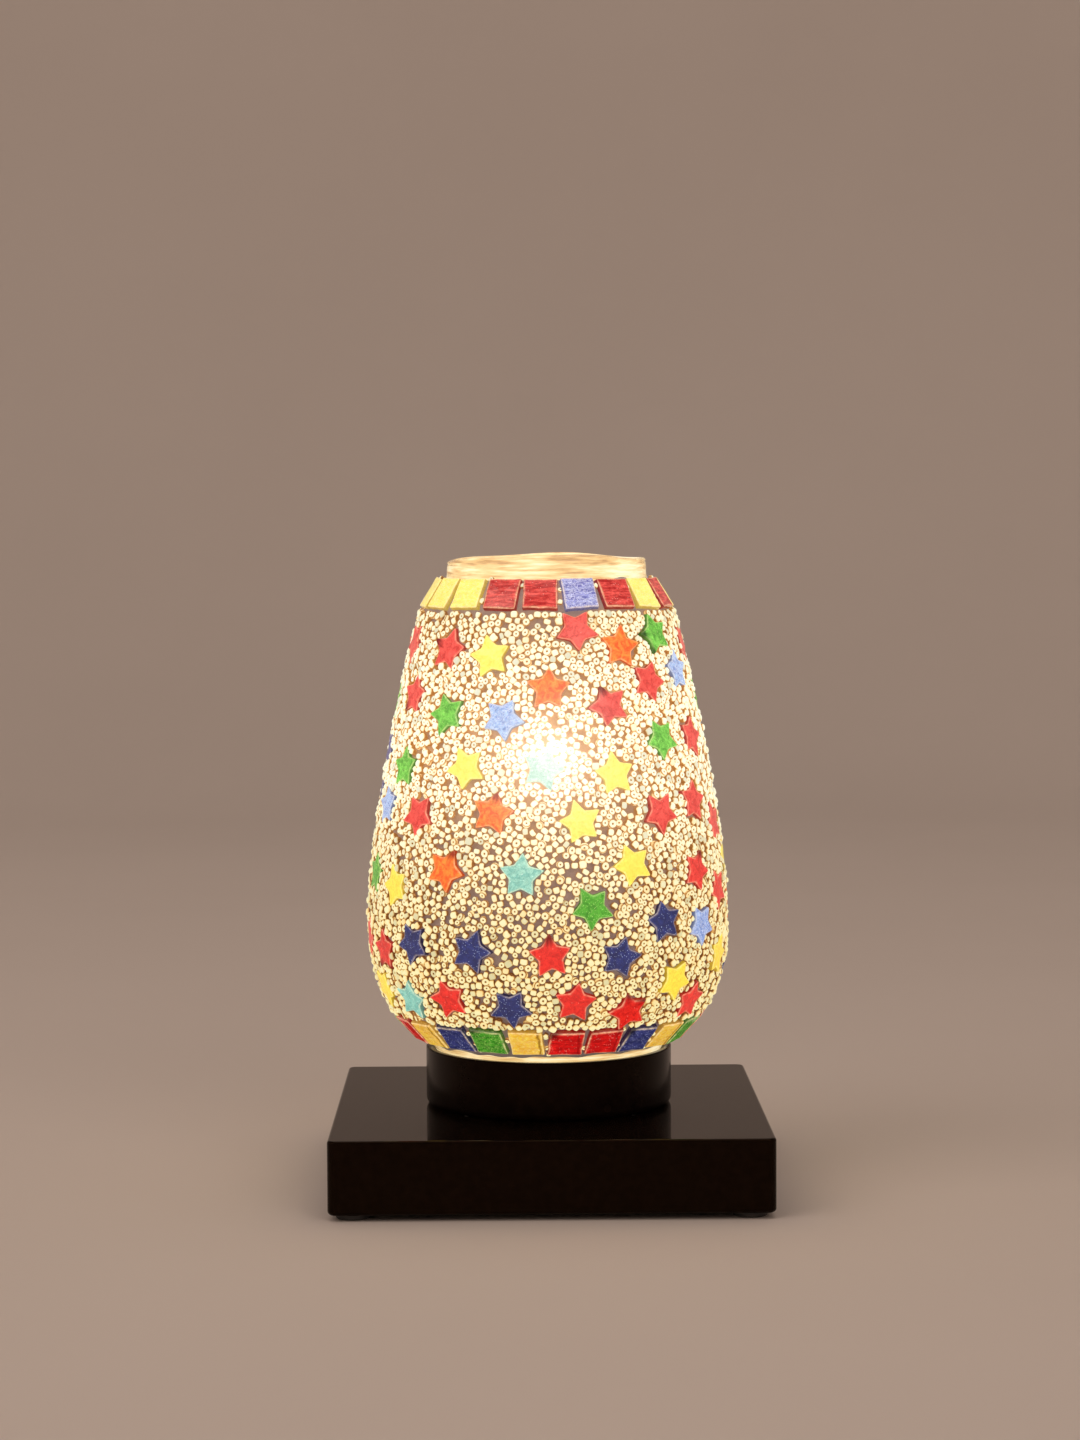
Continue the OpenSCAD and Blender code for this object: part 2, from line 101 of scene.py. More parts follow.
def solids(name):
    """The corners of each separate solid in a CAD node, as a list of point arrays."""
    points, triangles = cad_mesh(name)
    group = np.arange(len(points))
    while True:
        lowest = group[triangles].min(1)
        before = group.copy()
        for corner in range(3):
            np.minimum.at(group, triangles[:, corner], lowest)
        if (group == before).all():
            break
    return [points[group == label] for label in np.unique(group)]


def wall_radius(name, heights):
    """How far the outside of a turned node is from the axis at each height."""
    points, triangles = cad_mesh(name)
    pairs = np.vstack([triangles[:, [0, 1]], triangles[:, [1, 2]], triangles[:, [2, 0]]])
    radius = np.hypot(points[:, 0], points[:, 1])[pairs]
    level = points[:, 2][pairs]
    upright = np.abs(level[:, 1] - level[:, 0]) > 1e-7
    radius, level = radius[upright], level[upright]
    found = []
    for height in heights:
        crossing = (level.min(1) <= height) & (level.max(1) >= height)
        low, high = level[crossing].T
        share = (height - low) / (high - low)
        found.append(np.max(radius[crossing, 0] * (1 - share) + radius[crossing, 1] * share))
    return np.array(found)


class Outline:
    """A smooth radius for every height of a turned wall."""

    def __init__(self, name, step=0.5 * MM, reach=2.0 * MM):
        low, high = (corner.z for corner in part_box(name))
        self.low, self.high = low, high
        self.heights = np.linspace(low + 1e-5, high - 1e-5, round((high - low) / step))
        raw = wall_radius(name, self.heights)
        width = round(3 * reach / step)
        kernel = np.exp(-0.5 * (np.arange(-width, width + 1) * step / reach) ** 2)
        before = 2 * raw[0] - raw[width:0:-1]
        after = 2 * raw[-1] - raw[-2:-width - 2:-1]
        padded = np.concatenate([before, raw, after])
        self.radii = np.convolve(padded, kernel / kernel.sum(), "valid")

    def radius(self, height):
        return np.interp(height, self.heights, self.radii)

    def normal(self, height):
        """The outward normal as (away from the axis, up)."""
        rise = 0.4 * MM
        slope = (self.radius(height + rise) - self.radius(height - rise)) / (2 * rise)
        length = np.sqrt(1 + slope ** 2)
        return 1 / length, -slope / length

    def place(self, bearing, height, lift=0.0):
        """Points and outward normals at bearings (radians) and heights."""
        away, up = self.normal(height)
        radius = self.radius(height) + lift * away
        points = np.stack([radius * np.cos(bearing), radius * np.sin(bearing),
                           height + lift * up], -1)
        normals = np.stack([away * np.cos(bearing), away * np.sin(bearing),
                            up + 0 * bearing], -1)
        return points, normals


bed = Outline("grout_coat")
bead_low, bead_high = (corner.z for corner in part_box("bead_coat"))
filament = np.array([points.mean(0) for points in solids("bulb_filament")])
filament_height = filament[:, 2].mean()


def bulb_light(points, normals):
    """How strongly the filament lights places on the shade."""
    total = 0
    for source in filament:
        gap = points - source
        distance = np.linalg.norm(gap, axis=-1)
        slant = (gap * normals).sum(-1) / distance
        total = total + np.clip(slant, LEAST_SLANT, 1) / distance ** 2
    return total


front_point, front_normal = bed.place(np.array([FRONT]), np.array([filament_height]))
front_light = bulb_light(front_point, front_normal)[0]


def lit(points, normals):
    """The bulb's light on the shade, evened out as the eye sees it: 1 in front of the bulb."""
    return (bulb_light(points, normals) / front_light) ** LIGHT_POWER


def painted_hot_spot(points):
    """A painted hot spot fixed to the front: 1 in the middle of the blaze in front of the bulb,
    falling to 0 round it.
    """
    gap = np.linalg.norm((points - front_point[0]) * (1, 0.6, 1), axis=-1)
    return 0.30 * np.exp(-(gap / (24 * MM)) ** 2) + 0.70 * np.exp(-(gap / (10 * MM)) ** 2)


# ---------------------------------------------------------------- meshes

def new_piece(name, points, faces, material, body=SHADE, attributes=None):
    """A mesh object that rides on a body; attributes are numbers or vectors for each point."""
    mesh = bpy.data.meshes.new(name)
    faces = np.asarray(faces)
    mesh.vertices.add(len(points))
    mesh.vertices.foreach_set("co", np.asarray(points, np.float32).ravel())
    mesh.loops.add(faces.size)
    mesh.loops.foreach_set("vertex_index", faces.ravel().astype(np.int32))
    mesh.polygons.add(len(faces))
    size = faces.shape[1]
    mesh.polygons.foreach_set("loop_start", np.arange(0, faces.size, size, dtype=np.int32))
    mesh.update(calc_edges=True)
    for key, values in (attributes or {}).items():
        values = np.asarray(values, np.float32)
        kind = "FLOAT_VECTOR" if values.ndim == 2 else "FLOAT"
        layer = mesh.attributes.new(key, kind, "POINT")
        layer.data.foreach_set("vector" if values.ndim == 2 else "value", values.ravel())
    mesh.polygons.foreach_set("use_smooth", np.full(len(faces), True))
    mesh.validate()
    mesh.materials.append(material)
    piece = bpy.data.objects.new(name, mesh)
    bpy.context.scene.collection.objects.link(piece)
    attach(piece, body)
    return piece


def grid_faces(rows, columns, close_rows=False):
    """Quads of a grid that closes round its columns, and round its rows if asked."""
    row, column = np.meshgrid(np.arange(rows - (not close_rows)), np.arange(columns), indexing="ij")
    row, column = row.ravel(), column.ravel()
    above, beside = (row + 1) % rows, (column + 1) % columns
    return np.stack([row * columns + column, row * columns + beside,
                     above * columns + beside, above * columns + column], 1)


def join(parts):
    """Stacks (points, faces, attributes) parts into one."""
    points, faces, keys, start = [], [], {}, 0
    for part_points, part_faces, part_keys in parts:
        points.append(part_points)
        faces.append(np.asarray(part_faces) + start)
        for key, values in part_keys.items():
            keys.setdefault(key, []).append(values)
        start += len(part_points)
    return np.vstack(points), np.vstack(faces), {k: np.concatenate(v) for k, v in keys.items()}


def ripple(points, size, seed=0.0):
    """Smooth noise from -1 to 1 at each point; size is the width of its bumps."""
    return np.array([noise.noise(Vector(point) / size + Vector((seed, 0, 0))) for point in points])


# ---------------------------------------------------------------- material nodes

class Finish:
    """One node material, built from small steps. Steps give sockets to feed to later steps."""

    def __init__(self, name, **settings):
        self.material = bpy.data.materials.new(name)
        self.material.use_nodes = True
        self.nodes = self.material.node_tree.nodes
        self.links = self.material.node_tree.links
        self.shader = self.nodes["Principled BSDF"]
        self.set(**settings)

    def set(self, **settings):
        """Sets sockets of the Principled shader, to a constant or from a step."""
        for key, value in settings.items():
            self.feed(self.shader.inputs[key.replace("_", " ")], value)

    def feed(self, socket, value):
        if isinstance(value, bpy.types.NodeSocket):
            self.links.new(value, socket)
        elif isinstance(value, tuple) and len(value) == 3 and socket.type == "RGBA":
            socket.default_value = (*value, 1)
        else:
            socket.default_value = value

    def step(self, kind, output=0, inputs=None, **settings):
        node = self.nodes.new("ShaderNode" + kind)
        for key, value in settings.items():
            setattr(node, key, value)
        for key, value in (inputs or {}).items():
            self.feed(node.inputs[key], value)
        return node.outputs[output]

    def attribute(self, name, output="Fac"):
        return self.step("Attribute", output, attribute_name=name)

    def place(self):
        return self.step("TexCoord", "Object")

    def noise(self, scale, detail=3.0, rough=0.55, where=None, twist=0.0):
        inputs = {"Vector": where or self.place(), "Scale": scale, "Detail": detail,
                  "Roughness": rough, "Distortion": twist}
        return self.step("TexNoise", "Fac", inputs)

    def cells(self, scale, where, output="Distance"):
        return self.step("TexVoronoi", output, {"Vector": where, "Scale": scale})

    def stretch(self, factors, where=None):
        return self.step("Mapping", 0, {"Vector": where or self.place(), "Scale": factors})

    def math(self, operation, a, b=0.0, clamp=False):
        return self.step("Math", 0, {0: a, 1: b}, operation=operation, use_clamp=clamp)

    def fit(self, value, low, high, to_low=0.0, to_high=1.0):
        inputs = {"Value": value, "From Min": low, "From Max": high,
                  "To Min": to_low, "To Max": to_high}
        return self.step("MapRange", "Result", inputs)

    def mix(self, factor, a, b, blend="MIX"):
        node = self.nodes.new("ShaderNodeMix")
        node.data_type = "RGBA"
        node.blend_type = blend
        self.feed(node.inputs["Factor"], factor)
        self.feed(node.inputs[6], a)
        self.feed(node.inputs[7], b)
        return node.outputs[2]

    def ramp(self, value, stops):
        node = self.nodes.new("ShaderNodeValToRGB")
        spots = node.color_ramp.elements
        while len(spots) < len(stops):
            spots.new(0.5)
        for spot, (position, colour) in zip(spots, stops):
            spot.position = position
            spot.color = (*colour, 1)
        self.links.new(value, node.inputs["Fac"])
        return node.outputs["Color"]

    def bump(self, height, depth, strength=1.0):
        inputs = {"Height": height, "Distance": depth, "Strength": strength}
        self.links.new(self.step("Bump", "Normal", inputs), self.shader.inputs["Normal"])

    def glow(self, colour, strength):
        """Light given off by the surface, left out of the lamp sampling."""
        self.set(Emission_Color=colour, Emission_Strength=strength)
        self.material.cycles.emission_sampling = "NONE"


def lacquer(name, colour, worn, roughness):
    """Dark lacquer on wood: faint grain in two tones, orange peel and fine scratches."""
    finish = Finish(name, IOR=1.42, Specular_IOR_Level=0.12, Specular_Tint=(1.0, 0.62, 0.38))
    grain = finish.noise(60, 5, where=finish.stretch((6, 0.6, 6)))
    shade = finish.mix(finish.fit(grain, 0.35, 0.7), colour, worn)
    finish.set(Base_Color=shade)
    smears = finish.noise(28, 3, 0.6)
    finish.set(Roughness=finish.fit(smears, 0.3, 0.75, roughness * 0.7, roughness * 1.5))
    peel = finish.noise(900, 2)
    scratches = finish.noise(300, 2, where=finish.stretch((0.05, 4, 1)))
    finish.bump(finish.math("ADD", peel, finish.math("MULTIPLY", scratches, 0.4)), 0.012 * MM, 0.2)
    return finish.material


def metal(name, colour, dull, roughness):
    """Bare or plated metal with tarnish in patches and drawn streaks."""
    finish = Finish(name, Metallic=1.0)
    tarnish = finish.fit(finish.noise(140, 5, 0.65), 0.4, 0.75)
    finish.set(Base_Color=finish.mix(tarnish, colour, dull))
    finish.set(Roughness=finish.fit(finish.noise(500, 2), 0.2, 0.8, roughness * 0.7, roughness * 1.6))
    streaks = finish.noise(700, 2, where=finish.stretch((1, 1, 0.08)))
    finish.bump(streaks, 0.02 * MM, 0.4)
    return finish.material


def moulded(name, colour, tint, roughness, grain=900):
    """Moulded plastic, rubber, ceramic or pressed board with a fine grain."""
    finish = Finish(name)
    finish.set(Base_Color=finish.mix(finish.fit(finish.noise(90, 4), 0.3, 0.7), colour, tint))
    finish.set(Roughness=finish.fit(finish.noise(160, 3), 0.3, 0.7, roughness * 0.85, roughness * 1.2))
    finish.bump(finish.noise(grain, 3, 0.6), 0.04 * MM, 0.5)
    return finish.material


def bead_glass():
    """Cream seed beads with a painted glow as if lit from behind: bright tops, painted shade in brown
    on their sides and dark in their holes.
    """
    finish = Finish("bead_glass", Roughness=0.16, IOR=1.5, Coat_Weight=0.3, Coat_Roughness=0.05)
    painted_crest_light, light, hot = (finish.attribute(key) for key in ("painted_crest_light", "light", "hot"))
    tint = finish.attribute("tint")
    cloud = finish.noise(1500, 2)
    # Painted light of each point: painted shade low on the bead, painted glow on its top, shaken by a
    # cloud.
    depth = finish.math("ADD", painted_crest_light, finish.fit(cloud, 0.3, 0.7, -0.12, 0.12), clamp=True)
    # Colours of that painted light and shade, for beads the bulb lights dimly and for beads it lights
    # brightly.
    low = finish.ramp(depth, [(0.0, (0.09, 0.026, 0.005)), (0.17, (0.26, 0.080, 0.014)),
                              (0.36, (0.74, 0.38, 0.09)), (0.58, (1.0, 0.76, 0.27)),
                              (1.0, (1.0, 0.91, 0.46))])
    high = finish.ramp(depth, [(0.0, (0.40, 0.15, 0.03)), (0.16, (0.60, 0.26, 0.07)),
                               (0.34, (0.96, 0.66, 0.29)), (0.52, (1.0, 0.93, 0.58)),
                               (1.0, (1.0, 1.0, 0.80))])
    # Painted colour between the two, by how strongly the bulb's light falls there.
    warm = finish.mix(finish.fit(light, 0.48, 0.94), low, high)
    amber = finish.mix(0.5, warm, (1.0, 0.62, 0.2), "MULTIPLY")
    colour = finish.mix(finish.fit(tint, 0.88, 1.0, 0.0, 0.7), warm, amber)
    strength = finish.math("MULTIPLY", finish.fit(light, 0.3, 1.0, 0.86, 1.08),
                           finish.fit(tint, 0.0, 0.25, 0.72, 1.0))
    # Painted hot spot: whiter and brighter in front of the bulb.
    blaze = finish.math("MULTIPLY", hot, 0.9)
    finish.glow(finish.mix(finish.math("MULTIPLY", hot, 0.75), colour, (1.0, 0.93, 0.74)),
                finish.math("ADD", strength, blaze))
    # The base colour is darker in the painted shade too.
    finish.set(Base_Color=finish.mix(depth, (0.05, 0.02, 0.008), (0.16, 0.13, 0.09)))
    return finish.material


def grout():
    """Matt taupe grout, sandy and stained, with a painted glow from behind that grows near the bulb.
    """
    finish = Finish("grout", Specular_IOR_Level=0.25)
    stain = finish.fit(finish.noise(70, 4, 0.6), 0.35, 0.7)
    sand = finish.noise(2200, 3, 0.7)
    colour = finish.mix(stain, (0.47, 0.43, 0.46), (0.34, 0.30, 0.32))
    finish.set(Base_Color=finish.mix(finish.fit(sand, 0.3, 0.8), colour, (0.55, 0.50, 0.51)))
    finish.set(Roughness=finish.fit(sand, 0.2, 0.8, 0.75, 0.98))
    light, hot = finish.attribute("light"), finish.attribute("hot")
    # Painted glow from behind in patches, strongest where the bulb's light is strong and in the
    # painted hot spot.
    backlight_patches = finish.fit(finish.noise(160, 3, 0.6), 0.35, 0.75, 0.25, 1.0)
    painted_backlight = finish.math("MULTIPLY", finish.math("POWER", light, 3.0), backlight_patches)
    strength = finish.math("ADD", finish.math("MULTIPLY", painted_backlight, 0.42),
                           finish.math("MULTIPLY", hot, 0.7))
    # Pink where the painted glow is faint, orange where it is strong, with a faint painted glow
    # everywhere.
    finish.glow(finish.mix(finish.fit(strength, 0.0, 0.2), (1.0, 0.78, 0.72), (1.0, 0.53, 0.22)),
                finish.math("ADD", strength, 0.05))
    finish.bump(finish.math("ADD", sand, finish.math("MULTIPLY", finish.noise(420, 3), 1.5)),
                0.12 * MM, 0.7)
    return finish.material


def shade_glass_finish():
    """Clear blown glass with the bulb's light painted on as a glow in level streaks."""
    finish = Finish("clear_glass", Roughness=0.06, IOR=1.48, Coat_Weight=0.5)
    streak = finish.noise(55, 4, 0.65, where=finish.stretch((0.5, 0.5, 7)), twist=0.6)
    fine = finish.noise(240, 3, 0.6, where=finish.stretch((0.35, 0.35, 4)))
    both = finish.math("ADD", finish.math("MULTIPLY", streak, 0.5),
                       finish.math("MULTIPLY", fine, 0.5))
    colour = finish.ramp(both, [(0.38, (0.48, 0.25, 0.08)), (0.45, (0.82, 0.56, 0.22)),
                                (0.52, (0.97, 0.78, 0.40)), (0.60, (1.0, 0.93, 0.66))])
    finish.glow(colour, finish.fit(both, 0.38, 0.62, 0.60, 0.86))
    finish.set(Base_Color=(0.66, 0.55, 0.42), Transmission_Weight=0.2)
    finish.bump(both, 0.5 * MM, 0.5)
    return finish.material


# wash is how much the square chips pale under the painted light, against the stars.
def chip_glass(name, deep, bright, pale, glitter=0.0, speck=(1, 1, 1), mottle=0.5, ribs=0.0,
               wash=0.3, band=0.8, crack=0.0):
    """Coloured mosaic glass with a painted glow as if lit from behind: paler where that light is
    strong, with painted highlights on its edges, painted shade on its sides, mottling and specks.
    """
    finish = Finish(name, Roughness=0.09, IOR=1.52, Coat_Weight=0.5, Coat_Roughness=0.04)
    where = finish.attribute("local", "Vector")
    # edge is the painted highlight of each point; light and hot are the painted light from the bulb.
    edge, light, hot = (finish.attribute(key) for key in ("edge", "light", "hot"))
    tint, square = finish.attribute("tint"), finish.attribute("square")
    cloud = finish.noise(0.34, 4, 0.62, where=where, twist=1.2)
    # Paler where the painted light is strong; squares are paled by their own share.
    light_paling = finish.math("MULTIPLY", finish.fit(light, 0.5, 0.85, 0.0, 0.75),
                         finish.fit(square, 0.0, 1.0, 1.0, wash))
    colour = finish.mix(finish.fit(tint, 0.0, 1.0, 0.3, 0.0), bright, deep)
    colour = finish.mix(light_paling, colour, pale)
    colour = finish.mix(finish.fit(cloud, 0.40, 0.62, 0.0, 0.75 * mottle), colour, deep)
    streak = finish.noise(0.75, 4, 0.7, where=finish.stretch((0.18, 1.0, 1.0), where), twist=0.8)
    bands = finish.math("MULTIPLY", finish.fit(streak, 0.42, 0.58), square)
    colour = finish.mix(finish.math("MULTIPLY", bands, band), colour, deep)
    if ribs:
        vein = finish.noise(0.55, 4, 0.7, where=finish.stretch((0.5, 1.1, 1.0), where), twist=2.0)
        lines = finish.math("SUBTRACT", 1.0, finish.fit(
            finish.math("ABSOLUTE", finish.math("SUBTRACT", vein, 0.5)), 0.0, 0.05))
        colour = finish.mix(finish.math("MULTIPLY", lines, ribs), colour, speck)
    if crack:
        across = finish.step("SeparateXYZ", "X", {0: where})
        wobble = finish.math("MULTIPLY", finish.noise(0.3, 3, where=where), 2.5)
        along = finish.math("PINGPONG", finish.math("ADD", across, wobble), 10.0)
        along = finish.math("ADD", along, -5.5)
        line = finish.fit(finish.math("ABSOLUTE", along), 0.15, 0.7, crack, 0.0)
        colour = finish.mix(line, colour, tuple(0.35 * part for part in deep))
    if glitter:
        flake = finish.cells(1.9, where)
        size = finish.cells(1.9, where, "Color")
        spark = finish.math("MULTIPLY", finish.math("LESS_THAN", flake, 0.24),
                            finish.math("GREATER_THAN", size, 1.0 - glitter))
        colour = finish.mix(finish.math("MULTIPLY", spark, 0.85), colour, speck)
    # Painted highlight along the edges, in a pale glow colour.
    painted_rim_glow = finish.math("MULTIPLY", finish.math("POWER", edge, 2.0),
                      finish.fit(finish.noise(0.5, 2, where=where), 0.35, 0.6, 0.25, 1.0))
    # dark holds dark patches on some corners and painted shade on the side wall and underside.
    dark = finish.attribute("dark")
    rim_glow_colour = finish.mix(finish.fit(square, 0.0, 1.0, 0.45, 0.75), pale, (1.0, 0.74, 0.40))
    colour = finish.mix(finish.math("MULTIPLY", painted_rim_glow, 0.95), colour, rim_glow_colour)
    colour = finish.mix(dark, colour, tuple(0.12 * part for part in deep))
    # Painted glow, stronger where the bulb's light is strong, whiter in the painted hot spot, made
    # uneven by a grain.
    grain = finish.fit(finish.noise(0.9, 4, 0.65, where=where, twist=1.5), 0.32, 0.66, 0.74, 1.14)
    strength = finish.math("ADD", finish.fit(light, 0.3, 1.0, 0.95, 1.12),
                           finish.math("MULTIPLY", hot, 0.2))
    finish.glow(finish.mix(finish.math("MULTIPLY", hot, 0.62), colour, (1.0, 0.98, 0.86)),
                finish.math("MULTIPLY", strength, grain))
    finish.set(Base_Color=tuple(0.5 * part + 0.02 for part in deep))
    waves = finish.noise(0.22, 2, where=where)
    finish.bump(finish.math("ADD", waves, finish.math("MULTIPLY", streak, 0.25)), 0.5 * MM, 0.5)
    return finish.material


# The finishes of the stars, by colour.
CHIP_GLASS = {
    "red": chip_glass("glass_red", (0.42, 0.003, 0.004), (0.95, 0.020, 0.010), (0.93, 0.14, 0.11),
                      glitter=0.14, speck=(1.0, 0.38, 0.3), mottle=0.75),
    "orange": chip_glass("glass_orange", (0.84, 0.050, 0.012), (0.96, 0.30, 0.02), (0.98, 0.33, 0.06),
                         mottle=1.0),
    "yellow": chip_glass("glass_yellow", (0.92, 0.55, 0.03), (0.98, 0.76, 0.05), (1.0, 0.96, 0.22),
                         mottle=0.4, wash=1.0, band=0.45),
    "green": chip_glass("glass_green", (0.012, 0.15, 0.006), (0.07, 0.42, 0.014), (0.30, 0.80, 0.12),
                        glitter=0.5, speck=(0.55, 0.88, 0.22), mottle=0.8),
    "mint": chip_glass("glass_mint", (0.08, 0.34, 0.30), (0.30, 0.66, 0.52), (0.66, 0.95, 0.72),
                       glitter=0.3, speck=(0.9, 1.0, 0.9), mottle=0.8),
    "navy": chip_glass("glass_navy", (0.006, 0.008, 0.04), (0.020, 0.032, 0.17), (0.06, 0.09, 0.36),
                       glitter=0.4, speck=(0.50, 0.60, 0.92), mottle=0.8, band=0.4),
    "blue": chip_glass("glass_blue", (0.10, 0.15, 0.44), (0.26, 0.40, 0.76), (0.44, 0.64, 0.93),
                       glitter=0.25, speck=(0.80, 0.85, 1.0), mottle=0.9, ribs=0.8, wash=0.6),
}


# The finishes of the square chips, by CAD node.
TILE_GLASS = {
    "upper_tiles_red": chip_glass("tile_deep_red", (0.34, 0.002, 0.005), (0.93, 0.018, 0.022),
                                  (0.98, 0.20, 0.15), glitter=0.2, speck=(1.0, 0.55, 0.45),
                                  mottle=0.5, band=0.85, wash=0.9),
    "upper_tiles_yellow": chip_glass("tile_lemon", (0.95, 0.62, 0.06), (1.0, 0.90, 0.17),
                                     (1.0, 0.98, 0.42), mottle=0.5, ribs=0.55,
                                     speck=(1.0, 1.0, 0.62), band=0.4),
    "upper_tiles_blue": chip_glass("tile_lavender", (0.10, 0.10, 0.36), (0.34, 0.36, 0.76),
                                   (0.6, 0.62, 0.9), mottle=1.0, ribs=0.9, glitter=0.3,
                                   speck=(0.86, 0.86, 1.0), band=0.9),
    "lower_tiles_red": chip_glass("tile_red", (0.36, 0.003, 0.004), (0.92, 0.012, 0.010),
                                  (0.9, 0.1, 0.08), glitter=0.3, speck=(1.0, 0.45, 0.35),
                                  mottle=0.8, crack=0.5),
    "lower_tiles_yellow": chip_glass("tile_amber", (0.72, 0.32, 0.02), (0.93, 0.62, 0.04),
                                     (1.0, 0.85, 0.2), mottle=0.8, ribs=0.35, glitter=0.25,
                                     speck=(1.0, 0.92, 0.5), band=0.6, crack=0.9),
    "lower_tiles_green": chip_glass("tile_green", (0.010, 0.12, 0.005), (0.05, 0.36, 0.012),
                                    (0.2, 0.6, 0.05), glitter=0.6, speck=(0.6, 0.9, 0.2),
                                    mottle=0.9, ribs=0.3),
    "lower_tiles_navy": chip_glass("tile_navy", (0.008, 0.010, 0.045), (0.045, 0.050, 0.20),
                                   (0.12, 0.14, 0.4), glitter=0.6, speck=(0.6, 0.62, 0.9),
                                   mottle=0.8, band=0.5),
}


def lamp_glass():
    """The lit bulb's frosted glass, whitest round the filament."""
    finish = Finish("bulb_glass", Roughness=0.3, Base_Color=(0.9, 0.87, 0.8))
    height = finish.step("SeparateXYZ", "Z", {0: finish.place()})
    off = finish.math("ABSOLUTE", finish.math("SUBTRACT", height, filament_height))
    near = finish.fit(off, 0.0, 0.05, 1.0, 0.0)
    frost = finish.noise(900, 3)
    finish.glow(finish.mix(near, (1.0, 0.6, 0.28), (1.0, 0.86, 0.62)),
                finish.math("MULTIPLY", finish.fit(near, 0.0, 1.0, 0.9, 2.4),
                            finish.fit(frost, 0.0, 1.0, 0.9, 1.1)))
    finish.bump(frost, 0.02 * MM, 0.3)
    return finish.material


def filament_wire():
    """White-hot coiled wire."""
    finish = Finish("tungsten", Roughness=0.5, Base_Color=(0.3, 0.28, 0.26))
    turns = finish.noise(4000, 1)
    finish.glow((1.0, 0.8, 0.5), finish.fit(turns, 0.3, 0.7, 12.0, 25.0))
    return finish.material


def stem_glass():
    """The clear glass stem, with seeds and cords."""
    finish = Finish("stem_glass", Roughness=0.05, IOR=1.5, Transmission_Weight=0.9)
    seeds = finish.noise(300, 3)
    finish.set(Base_Color=finish.mix(seeds, (0.9, 0.93, 0.92), (1.0, 1.0, 1.0)))
    finish.bump(seeds, 0.05 * MM, 0.3)
    return finish.material


# ---------------------------------------------------------------- chips

class Chip:
    """One star or square chip: where the CAD model puts it, and its own small differences."""

    def __init__(self, corners, node, rng):
        self.centre = corners.mean(0)
        spread = corners - self.centre
        axes = np.linalg.svd(spread, full_matrices=False)[2]
        up = axes[2]
        outward = self.centre * (1, 1, 0)
        self.up = up if up @ outward > 0 else -up
        flat = spread - np.outer(spread @ self.up, self.up)
        tip = flat[np.argmax((flat ** 2).sum(1))]
        self.reach = np.linalg.norm(tip)
        self.along = tip / self.reach
        self.square = "tiles" in node
        if self.square:
            level = np.cross((0, 0, 1), self.up)
            level /= np.linalg.norm(level)
            quarter = self.turned(math.pi / 4)
            sides = [sign * axis for sign in (1, -1)
                     for axis in (quarter, np.cross(self.up, quarter))]
            self.along = max(sides, key=lambda axis: axis @ level)
        self.across = np.cross(self.up, self.along)
        self.floor = (spread @ self.up).min()
        self.tint = rng.random()
        self.halo_bearing = rng.uniform(0, 2 * math.pi)
        self.halo = rng.uniform(0.1, 1.5) * MM
        self.outline = self.square_outline(rng) if self.square else self.star_outline(rng)
        self.dark_corner = rng.uniform(0, 2 * math.pi) if rng.random() < DARK_CORNERS else None

    def turned(self, angle):
        across = np.cross(self.up, self.along)
        return math.cos(angle) * self.along + math.sin(angle) * across

    def star_outline(self, rng):
        corners = []
        for arm in range(5):
            tip = STAR_RADIUS * (1.19 + rng.uniform(-0.07, 0.05))
            notch = STAR_RADIUS * STAR_NOTCH * (1 + rng.uniform(-0.04, 0.04))
            turn = math.radians(72 * arm + rng.uniform(-2, 2))
            corners.append((tip * math.cos(turn), tip * math.sin(turn)))
            turn += math.radians(36)
            corners.append((notch * math.cos(turn), notch * math.sin(turn)))
        return cut_corners(np.array(corners), (0.1, 0.25))

    def square_outline(self, rng):
        half = self.reach * math.sqrt(0.5)
        corners = half * np.array([(1, 1), (-1, 1), (-1, -1), (1, -1)], float)
        corners += rng.uniform(-0.45, 0.3, corners.shape) * MM * np.sign(corners)
        sides = []
        for here, there in zip(corners, np.roll(corners, -1, 0)):
            for share in (0, 0.06, 0.3, 0.5, 0.7, 0.94):
                jog = 0.0 if share < 0.1 or share > 0.9 else rng.normal(0, 0.1) * MM
                side = (there - here) / np.linalg.norm(there - here)
                sides.append(here + share * (there - here) + jog * np.array([side[1], -side[0]]))
        return cut_corners(np.array(sides), (0.25,))

    def edge_radius(self, angles):
        """Distance from the middle to the outline in each direction."""
        turns = np.arctan2(self.outline[:, 1], self.outline[:, 0])
        order = np.argsort(turns)
        reach = np.linalg.norm(self.outline, axis=1)[order]
        return np.interp(angles, turns[order], reach, period=2 * math.pi)

    def overlook(self, points):
        """Distance outside the outline, direction and in-plane step away, for points nearby."""
        spread = points - self.centre
        x, y = spread @ self.along, spread @ self.across
        distance = np.hypot(x, y) + 1e-9
        angle = np.arctan2(y, x)
        away = (x / distance)[:, None] * self.along + (y / distance)[:, None] * self.across
        return distance - self.edge_radius(angle), angle, away


def cut_corners(outline, shares):
    """Rounds a closed outline by cutting its corners, once for each share."""
    for share in shares:
        following = np.roll(outline, -1, 0)
        outline = np.stack([outline * (1 - share) + following * share,
                            outline * share + following * (1 - share)], 1).reshape(-1, 2)
    return outline


# How far in from the outline and how high above the bed each ring of a chip is, in millimetres,
# then how much painted highlight on its edge and how much painted shade on its wall it has.
CHIP_RINGS = [(-0.10, -0.35, 0.0, 1.0), (-0.18, 0.4, 0.0, 1.0), (-0.02, 1.5, 0.3, 0.85),
              (0.14, 1.80, 1.0, 0.0), (0.42, 1.96, 0.75, 0.0), (0.85, 2.02, 0.2, 0.0),
              (1.5, 2.05, 0.0, 0.0)]


